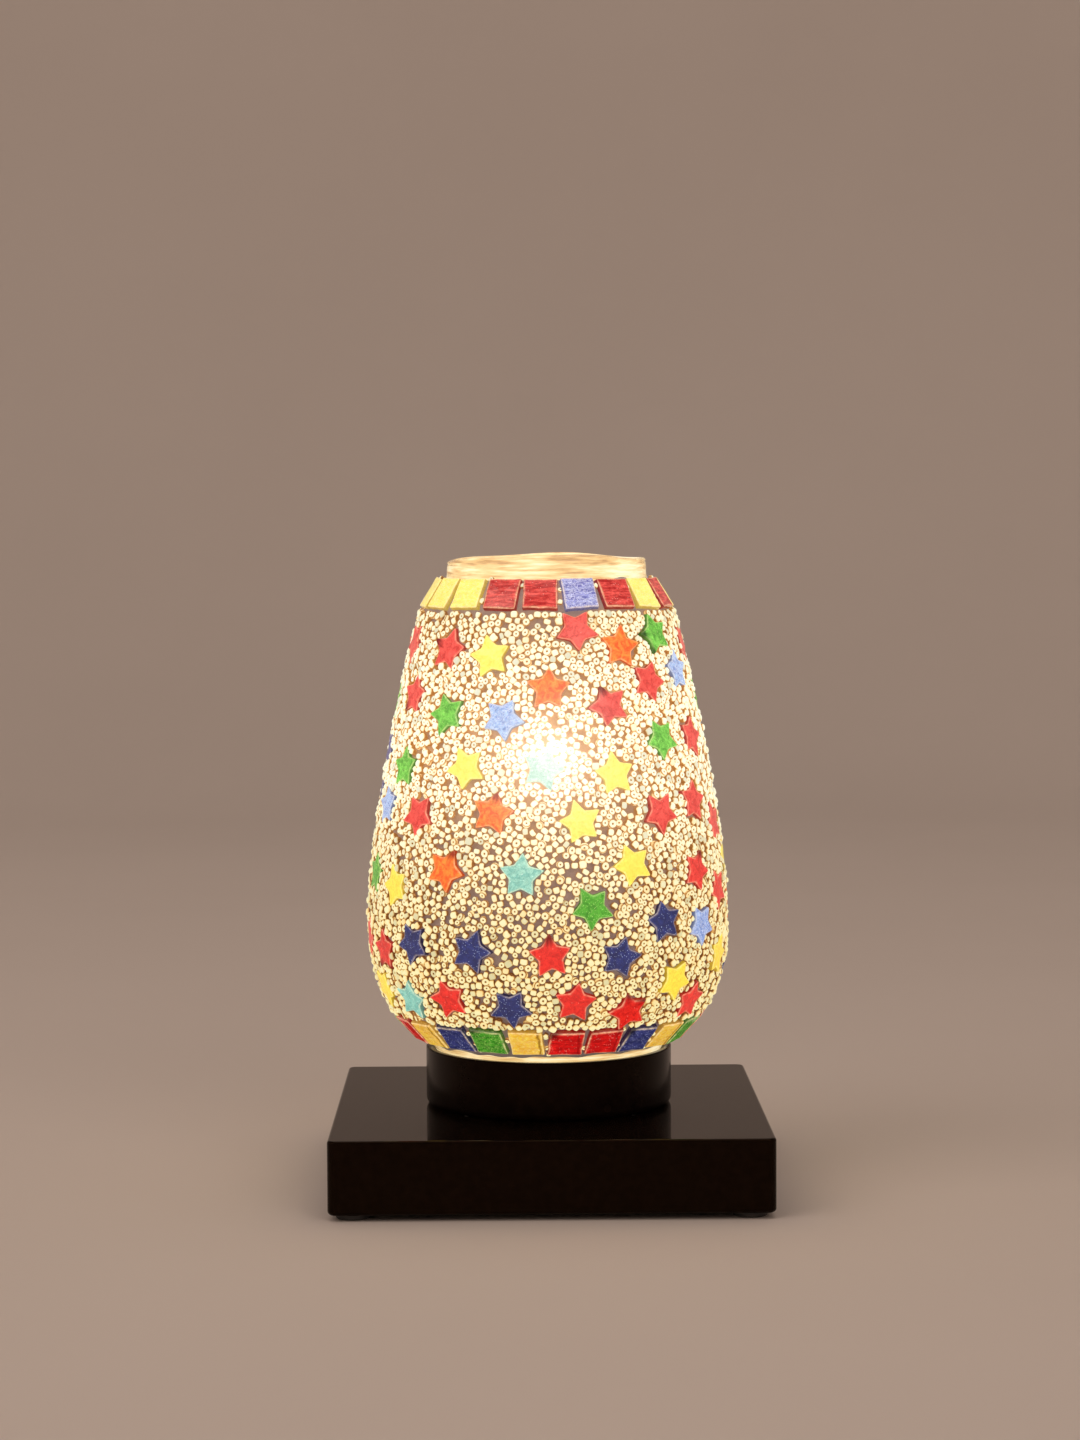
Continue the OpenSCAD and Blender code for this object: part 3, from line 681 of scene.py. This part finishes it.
def chip_mesh(chip, number):
    """A chip with rounded edges and a slightly wavy, crowned face."""
    outline = chip.outline
    count = len(outline)
    length = np.linalg.norm(outline, axis=1)
    # edge is the painted highlight of each ring, wall its painted shade.
    rows, heights, edge, wall = [], [], [], []
    for inset, height, glow, shadow in CHIP_RINGS:
        rows.append(outline * (1 - inset * MM / length)[:, None])
        heights.append(np.full(count, height * MM))
        edge.append(np.full(count, glow))
        wall.append(np.full(count, shadow))
    for share in (0.5, 0.22):
        rows.append(rows[len(CHIP_RINGS) - 1] * share)
        heights.append(np.full(count, (2.05 + 0.1 * (1 - share)) * MM))
        edge.append(np.zeros(count))
        wall.append(np.zeros(count))
    flat = np.vstack(rows + [[(0, 0)], [(0, 0)]])
    height = np.concatenate(heights + [[2.15 * MM], [-0.35 * MM]])
    edge = np.concatenate(edge + [[0.0], [0.0]])
    wall = np.concatenate(wall + [[0.0], [1.0]])
    local = np.column_stack([flat / MM + (40.0 * number, 0), height / MM])
    top = height > 1.4 * MM
    height[top] += 0.09 * MM * ripple(local[top], 3.0)
    height += chip.floor + CHIP_BED
    points = (chip.centre + np.outer(flat[:, 0], chip.along) + np.outer(flat[:, 1], chip.across)
              + np.outer(height, chip.up))
    levels = len(rows)
    quads = grid_faces(levels, count)
    fans = []
    for ring, middle, order in ((levels - 1, levels * count, 1), (0, levels * count + 1, -1)):
        start = ring * count + np.arange(count)
        fan = np.stack([start, np.roll(start, -1), np.full(count, middle)], 1)[:, ::order]
        fans.append(fan)
    triangles = np.vstack([quads[:, [0, 1, 2]], quads[:, [0, 2, 3]]] + fans)
    normals = np.tile(chip.up, (len(points), 1))
    # Dark patches on some corners of some chips.
    if chip.dark_corner is None:
        dark = np.zeros(len(points))
    else:
        turn = np.arctan2(flat[:, 1], flat[:, 0]) - chip.dark_corner
        far = np.hypot(flat[:, 0], flat[:, 1]) / chip.reach
        dark = np.clip((np.cos(turn) * far - 0.62) / 0.16, 0, 1) * 0.9
    # Painted shade on the wall and underside darkens these too.
    dark = np.maximum(dark, wall * 0.8)
    square = np.full(len(points), float(chip.square))
    keys = {"edge": edge, "local": local, "light": lit(points, normals), "hot": painted_hot_spot(points),
            "tint": np.full(len(points), chip.tint), "square": square, "dark": dark}
    return points, triangles, keys


def make_chips():
    """Builds a piece for every CAD node of stars or square chips."""
    rng = np.random.default_rng(11)
    chips = []
    chip_nodes = (name for name in frame["nodes"] if name.startswith(("stars_", "upper_", "lower_")))
    for node in sorted(chip_nodes):
        mine = [Chip(corners, node, rng) for corners in solids(node)]
        colour = node.split("_")[-1]
        parts = [chip_mesh(chip, number) for number, chip in enumerate(mine, len(chips))]
        points, faces, keys = join(parts)
        finish = TILE_GLASS.get(node, CHIP_GLASS[colour])
        piece = new_piece("glass_" + node, points, faces, finish,
                          attributes=keys)
        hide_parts(node)
        chips += mine
    return chips


# ---------------------------------------------------------------- beads

def spread_evenly(rng, count, low, high, jitter):
    """Points on the bed: a golden-angle spiral, even over its area, shaken by the jitter."""
    heights = np.linspace(low, high, 400)
    away, _ = bed.normal(heights)
    area = np.cumsum(bed.radius(heights) / away)
    turns = np.arange(count)
    picks = np.interp((turns + 0.5) / count * area[-1], area, heights)
    golden = math.pi * (3 - math.sqrt(5))
    points, _ = bed.place(golden * turns + rng.uniform(0, 6), picks)
    points += rng.normal(0, jitter, points.shape)
    return bed.place(np.arctan2(points[:, 1], points[:, 0]), np.clip(points[:, 2], low, high))[0]


def settle(points, widths, chips, patches, low, high):
    """Pushes beads apart, out from under the chips and off the bare patches."""
    for _ in range(SETTLING_ROUNDS):
        tree = kdtree.KDTree(len(points))
        for i, point in enumerate(points):
            tree.insert(point, i)
        tree.balance()
        pairs = np.array([(i, j) for i, point in enumerate(points)
                          for _, j, _ in tree.find_range(point, 3.4 * MM) if j > i])
        close = {id(chip): np.nonzero(np.linalg.norm(points - chip.centre, axis=1) < 13 * MM)[0]
                 for chip in chips}
        for _ in range(PUSHES_A_ROUND):
            gap = points[pairs[:, 0]] - points[pairs[:, 1]]
            distance = np.linalg.norm(gap, axis=1) + 1e-9
            need = 0.475 * (widths[pairs[:, 0]] + widths[pairs[:, 1]])
            push = (0.5 * np.clip(need - distance, 0, None) / distance)[:, None] * gap
            np.add.at(points, pairs[:, 0], push)
            np.add.at(points, pairs[:, 1], -push)
            for chip in chips:
                near = close[id(chip)]
                outside, angle, away = chip.overlook(points[near])
                halo = chip.halo * np.clip(np.cos(angle - chip.halo_bearing), 0, 1)
                halo = halo * (not chip.square)
                want = 0.40 * widths[near] + 0.25 * MM + halo
                points[near] += np.clip(want - outside, 0, 1.5 * MM)[:, None] * away
            for centre, size in patches:
                near = np.nonzero(np.linalg.norm(points - centre, axis=1) < size)[0]
                gap = points[near] - centre
                distance = np.linalg.norm(gap, axis=1) + 1e-9
                points[near] += (0.35 * (size - distance) / distance)[:, None] * gap
            heights = np.clip(points[:, 2], low, high)
            bearings = np.arctan2(points[:, 1], points[:, 0])
            points, _ = bed.place(bearings, heights)
    return points


# A bead's outline, for a half width and half length of 1: distance from its axis and along it,
# then how bright the painted glow of that ring is on a standing bead and on a lying one.
BEAD_RINGS = [(0.17, -0.55, 0.0, 0.0), (0.36, -0.88, 0.9, 0.35), (0.74, -0.92, 1.0, 0.8),
              (0.97, -0.66, 0.10, 1.0), (1.03, 0.0, 0.9, 1.0), (0.97, 0.66, 0.10, 1.0),
              (0.74, 0.92, 1.0, 0.8), (0.36, 0.88, 0.9, 0.35), (0.17, 0.55, 0.0, 0.0)]
BEAD_SIDES = 10


def bead_template():
    """One bead of half width and half length 1: its points, faces and the painted glow of each point.
    """
    turn = 2 * math.pi * np.arange(BEAD_SIDES) / BEAD_SIDES
    rings = np.array(BEAD_RINGS)
    points = np.stack([np.outer(rings[:, 0], np.cos(turn)), np.outer(rings[:, 0], np.sin(turn)),
                       np.outer(rings[:, 1], np.ones(BEAD_SIDES))], -1).reshape(-1, 3)
    quads = grid_faces(len(rings), BEAD_SIDES, close_rows=True)
    return points, quads, np.repeat(rings[:, 2:], BEAD_SIDES, axis=0).T


def bead_mesh(rng, points, widths):
    """All beads as arrays of points for each bead, with what their material needs."""
    count = len(points)
    heights = points[:, 2]
    bearings = np.arctan2(points[:, 1], points[:, 0])
    seat, normals = bed.place(bearings, heights)
    heading = rng.normal(size=(count, 3))
    heading -= (heading * normals).sum(1)[:, None] * normals
    heading /= np.linalg.norm(heading, axis=1)[:, None]
    standing = rng.random(count) < STANDING_SHARE
    lean = np.where(standing, np.abs(rng.normal(0, 14, count)), rng.normal(90, 9, count))
    lean = np.radians(lean)[:, None]
    axis = np.cos(lean) * normals + np.sin(lean) * heading
    side = np.cross(axis, np.cross(normals, heading))
    side /= np.linalg.norm(side, axis=1)[:, None]
    other = np.cross(axis, side)
    template, quads, ring_glow = bead_template()
    half_width = widths / 2
    half_length = half_width * rng.uniform(*BEAD_SHAPE, count)
    squash = 1 + rng.uniform(-0.07, 0.07, (count, 1, 1))
    body = (template[None, :, 0:1] * half_width[:, None, None] * squash * side[:, None]
            + template[None, :, 1:2] * half_width[:, None, None] / squash * other[:, None]
            + template[None, :, 2:3] * half_length[:, None, None] * axis[:, None])
    above = (body * normals[:, None]).sum(-1)
    lift = -above.min(1) - rng.uniform(0.05, 0.3, count) * MM
    body += (lift[:, None] * normals)[:, None] + seat[:, None]
    tall = above.max(1) - above.min(1)
    share = (above - above.min(1)[:, None]) / tall[:, None]
    # Painted light on each bead: painted shade near the bed, rising to a painted glow on its top.
    start = np.where(standing, 0.35, 0.62)[:, None]
    rise = np.clip((share - start) / np.where(standing, 0.5, 0.32)[:, None], 0, 1)
    painted_crest_light = rise * rise * (3 - 2 * rise) * np.where(standing[:, None], *ring_glow[:, None])
    light = lit(seat, normals)
    keys = {"painted_crest_light": painted_crest_light,
            "light": np.repeat(light[:, None], len(template), 1),
            "hot": np.repeat(painted_hot_spot(seat)[:, None], len(template), 1),
            "tint": np.repeat(rng.random(count)[:, None], len(template), 1)}
    return body, quads, keys


def gap_beads(rng, chips):
    """A few beads in the gaps between the square chips."""
    spots = []
    for chip in chips:
        if not chip.square:
            continue
        half = chip.reach * math.sqrt(0.5)
        for side in (-1, 1):
            for _ in range(2):
                if rng.random() < 0.5:
                    spots.append(chip.centre + (half + 0.9 * MM) * chip.along
                                 + side * rng.uniform(0.1, 0.95) * half * chip.across)
    return np.array(spots)


def make_beads(chips):
    """Lays the coat of seed beads, in a few pieces stacked from the bottom up."""
    rng = np.random.default_rng(23)
    points = spread_evenly(rng, BEAD_COUNT, bead_low, bead_high, 1.1 * MM)
    widths = np.clip(rng.normal(WIDTH_MEAN_MM, WIDTH_SPREAD_MM, BEAD_COUNT) * MM, *BEAD_WIDTH)
    patch_points = spread_evenly(rng, BARE_PATCHES, bead_low, bead_high, 12 * MM)
    patches = list(zip(patch_points, rng.uniform(*PATCH_SIZE_MM, BARE_PATCHES) * MM))
    margin = 0.6 * MM
    points = settle(points, widths, chips, patches, bead_low + margin, bead_high - margin)
    order = np.argsort(points[:, 2])
    points, widths = points[order], widths[order]
    extra = gap_beads(rng, chips)
    points = np.vstack([points, extra])
    widths = np.concatenate([widths, np.full(len(extra), GAP_BEAD_WIDTH)])
    body, quads, keys = bead_mesh(rng, points, widths)
    each = body.shape[1]
    for number, picks in enumerate(np.array_split(np.arange(len(body)), BEAD_PIECES), 1):
        faces = (quads[None] + each * np.arange(len(picks))[:, None, None]).reshape(-1, 4)
        piece = new_piece(f"bead_belt_{number}", body[picks].reshape(-1, 3), faces,
                          BEAD_GLASS, attributes={k: v[picks].ravel() for k, v in keys.items()})
        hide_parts("bead_coat")


# ---------------------------------------------------------------- grout and glass

def wander(height, low_wave, high_wave):
    """Heights on the bed, moved by one wave at its lower edge and by another at its upper."""
    fading = 20
    share = (height - bed.low) / (bed.high - bed.low)
    near_low = np.clip(1 - share * fading, 0, 1)
    near_high = np.clip(1 - (1 - share) * fading, 0, 1)
    return height + near_low * low_wave + near_high * high_wave


def make_grout(chips):
    """The grout: a thin closed shell with sandy waves, raised a little against the chips."""
    columns, rows = 440, 178
    turn = 2 * math.pi * np.arange(columns) / columns
    levels = np.linspace(bed.low, bed.high, rows)
    bearing, height = np.meshgrid(turn, levels)
    ring = np.column_stack([np.cos(turn), np.sin(turn), 0 * turn])
    low_wave = 0.9 * MM * ripple(ring, 0.16)
    high_wave = 1.1 * MM * ripple(ring + (0, 0, 1), 0.2)
    height = wander(height, low_wave, high_wave)
    bearing, height = bearing.ravel(), height.ravel()
    points, normals = bed.place(bearing, height)
    swell = 0.10 * MM * ripple(points, 5 * MM) + 0.06 * MM * ripple(points, 1.8 * MM, 9.0)
    fillet = np.zeros(len(points))
    for chip in chips:
        near = np.nonzero(np.linalg.norm(points - chip.centre, axis=1) < 12 * MM)[0]
        outside, _, _ = chip.overlook(points[near])
        bank = 0.75 * MM * np.exp(-(np.clip(outside, 0, None) / (0.9 * MM)) ** 2)
        fillet[near] = np.maximum(fillet[near], bank * (outside > -2 * MM))
    edge = np.minimum(height - bed.low, bed.high - height)
    taper = np.clip(edge / (1.2 * MM) + 0.35, 0.35, 1)
    outer = points + ((swell + fillet) * taper - (1 - taper) * 0.35 * MM)[:, None] * normals
    inner_rows = 24
    inner_bearing, inner_height = np.meshgrid(turn, np.linspace(bed.high, bed.low, inner_rows))
    inner_height = wander(inner_height, low_wave, high_wave)
    inner, inner_normals = bed.place(inner_bearing.ravel(), inner_height.ravel(), -0.75 * MM)
    all_points = np.vstack([outer, inner])
    all_normals = np.vstack([normals, inner_normals])
    faces = grid_faces(rows + inner_rows, columns, close_rows=True)
    keys = {"light": lit(all_points, all_normals), "hot": painted_hot_spot(all_points)}
    piece = new_piece("grout_skin", all_points, faces, GROUT, attributes=keys)
    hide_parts("grout_coat")


def make_glass():
    """The blown glass body: a smooth turned shell with a hand-finished, slightly wavy lip."""
    columns = 256
    turn = 2 * math.pi * np.arange(columns) / columns
    low, high = (corner.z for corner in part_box("shade_glass"))
    outside = Outline("shade_glass", reach=1.2 * MM)
    wall = GLASS_WALL
    bead = wall / 2
    levels = np.concatenate([np.linspace(low, low + 14 * MM, 24),
                             np.linspace(low + 15.5 * MM, high - 18 * MM, 60),
                             np.linspace(high - 17 * MM, high - bead, 24)])
    around = np.radians(np.linspace(12, 168, 9))
    rings = [(outside.radius(z), z) for z in levels]
    lip_radius = float(outside.radius(high - 2 * bead)) - bead
    rings += [(lip_radius + bead * math.cos(a), high - bead + bead * math.sin(a)) for a in around]
    away, up = outside.normal(levels)
    rings += [(outside.radius(z) - wall * a, z - wall * u * (z < high - 6 * MM))
              for z, a, u in zip(levels[::-1], away[::-1], up[::-1])]
    radius, height = np.array(rings).T
    near_lip = np.clip((height - (high - 9 * MM)) / (9 * MM), 0, 1)[:, None]
    wave = (-0.35 + 0.95 * np.cos(2 * (turn - FRONT)) + 0.35 * np.sin(turn + 0.7)
            + 0.3 * np.sin(5 * turn + 1.2)) * MM
    waver = 0.25 * MM * np.sin(3 * turn + 0.4) + 0.15 * MM * np.sin(7 * turn)
    z = height[:, None] + near_lip * wave
    r = radius[:, None] + near_lip * waver
    points = np.stack([r * np.cos(turn), r * np.sin(turn), z], -1).reshape(-1, 3)
    faces = grid_faces(len(rings), columns, close_rows=True)
    piece = new_piece("blown_glass", points, faces, CLEAR_GLASS)
    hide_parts("shade_glass")


# ---------------------------------------------------------------- camera, room and CAD pieces

def make_camera():
    """The camera, at the viewing angle of the picture to match."""
    data = bpy.data.cameras.new("camera")
    data.lens = CAMERA_LENS
    data.sensor_width = 36
    camera = bpy.data.objects.new("camera", data)
    bpy.context.scene.collection.objects.link(camera)
    yaw, pitch, roll = (math.radians(a) for a in (CAMERA_YAW, CAMERA_PITCH, CAMERA_ROLL))
    aim = (Matrix.Rotation(-yaw, 4, "Z") @ Matrix.Rotation(math.pi / 2 - pitch, 4, "X")
           @ Matrix.Rotation(roll, 4, "Z"))
    camera.matrix_world = Matrix.Translation(CAMERA_PLACE) @ aim
    bpy.context.scene.camera = camera


def stage_finish():
    """Pale, matt and faintly clouded."""
    finish = Finish("stage", Specular_IOR_Level=0.2)
    cloud = finish.noise(2.5, 3)
    finish.set(Base_Color=finish.mix(cloud, (0.70, 0.66, 0.63), (0.76, 0.72, 0.69)), Roughness=0.8)
    return finish.material


def make_stage():
    """A pale round floor that curves up into a wall on every side."""
    floor, bend, top, columns = 1.5, 0.7, 3.2, 96
    outline = [(floor + bend * math.sin(a), bend * (1 - math.cos(a)))
               for a in np.linspace(0, math.pi / 2, 17)] + [(floor + bend, top)]
    turn = 2 * math.pi * np.arange(columns) / columns
    radius, height = np.array([(0.02, 0.0), (0.6, 0.0)] + outline).T
    points = np.stack([np.outer(radius, np.cos(turn)), np.outer(radius, np.sin(turn)),
                       np.outer(height, np.ones(columns))], -1).reshape(-1, 3)
    faces = [tuple(face) for face in grid_faces(len(radius), columns)]
    mesh = bpy.data.meshes.new("stage")
    mesh.from_pydata(points, [], faces + [tuple(range(columns))])
    mesh.polygons.foreach_set("use_smooth", [True] * len(mesh.polygons))
    mesh.materials.append(stage_finish())
    stage = bpy.data.objects.new("stage", mesh)
    bpy.context.scene.collection.objects.link(stage)


def soft_box(name, place, aim, size, power):
    """A soft area light in the room's colour."""
    data = bpy.data.lights.new(name, "AREA")
    data.size = size
    data.energy = power
    data.color = ROOM_COLOUR
    lamp = bpy.data.objects.new(name, data)
    lamp.location = place
    lamp.rotation_euler = (Vector(aim) - Vector(place)).to_track_quat("-Z", "Y").to_euler()
    bpy.context.scene.collection.objects.link(lamp)


def make_lights():
    soft_box("key", (-1.3, -0.9, 1.5), (0, 0, 0.15), 1.2, 7)
    soft_box("top", (0.0, 0.0, 2.6), (0, 0, 0), 2.4, 17)
    soft_box("fill", (0.8, -1.5, 1.1), (0, 0, 0.12), 1.0, 3.5)
    world = bpy.data.worlds.new("room")
    world.use_nodes = True
    back = world.node_tree.nodes["Background"]
    back.inputs["Color"].default_value = (*ROOM_COLOUR, 1)
    back.inputs["Strength"].default_value = ROOM_STRENGTH
    bpy.context.scene.world = world
    bpy.context.scene.view_settings.view_transform = "Standard"
    bpy.context.scene.cycles.use_denoising = True


def dress_cad():
    """Gives every CAD node that stays in view its own finish."""
    steel = metal("zinc_steel", (0.58, 0.58, 0.6), (0.4, 0.39, 0.38), 0.3)
    brass = metal("brass", (0.72, 0.5, 0.2), (0.45, 0.28, 0.1), 0.28)
    nickel = metal("nickel", (0.68, 0.66, 0.62), (0.5, 0.48, 0.44), 0.22)
    finishes = {
        "lacquered_wood": lacquer("lacquered_wood", (0.0035, 0.002, 0.0012),
                                  (0.008, 0.0042, 0.0025), 0.07),
        "lacquered_collar": lacquer("lacquered_collar", (0.0035, 0.002, 0.0015),
                                    (0.008, 0.0045, 0.003), 0.2),
        "zinc_steel": steel, "brass": brass, "nickel": nickel,
        "fibre_board": moulded("fibre_board", (0.16, 0.1, 0.065), (0.22, 0.15, 0.1), 0.75, 500),
        "rubber": moulded("rubber", (0.02, 0.02, 0.02), (0.035, 0.034, 0.033), 0.6),
        "phenolic": moulded("phenolic", (0.025, 0.02, 0.018), (0.04, 0.03, 0.025), 0.28),
        "steatite": moulded("steatite", (0.72, 0.7, 0.64), (0.62, 0.59, 0.52), 0.4),
        "black_glass": moulded("black_glass", (0.012, 0.012, 0.02), (0.02, 0.02, 0.03), 0.1),
        "solder": metal("solder", (0.6, 0.6, 0.6), (0.38, 0.38, 0.38), 0.42),
        "bulb_glass": lamp_glass(),
        "tungsten": filament_wire(),
        "stem_glass": stem_glass(),
    }
    slots = {part["node"]: part["material_slot"] for part in frame["record"]["subparts"]}
    for name, cad in frame["nodes"].items():
        key = "stem_glass" if name == "bulb_stem" else slots.get(name)
        if key in finishes:
            cad.data.materials.clear()
            cad.data.materials.append(finishes[key])


make_camera()
make_stage()
make_lights()
BEAD_GLASS, GROUT, CLEAR_GLASS = bead_glass(), grout(), shade_glass_finish()
chips = make_chips()
make_grout(chips)
make_glass()
make_beads(chips)
dress_cad()
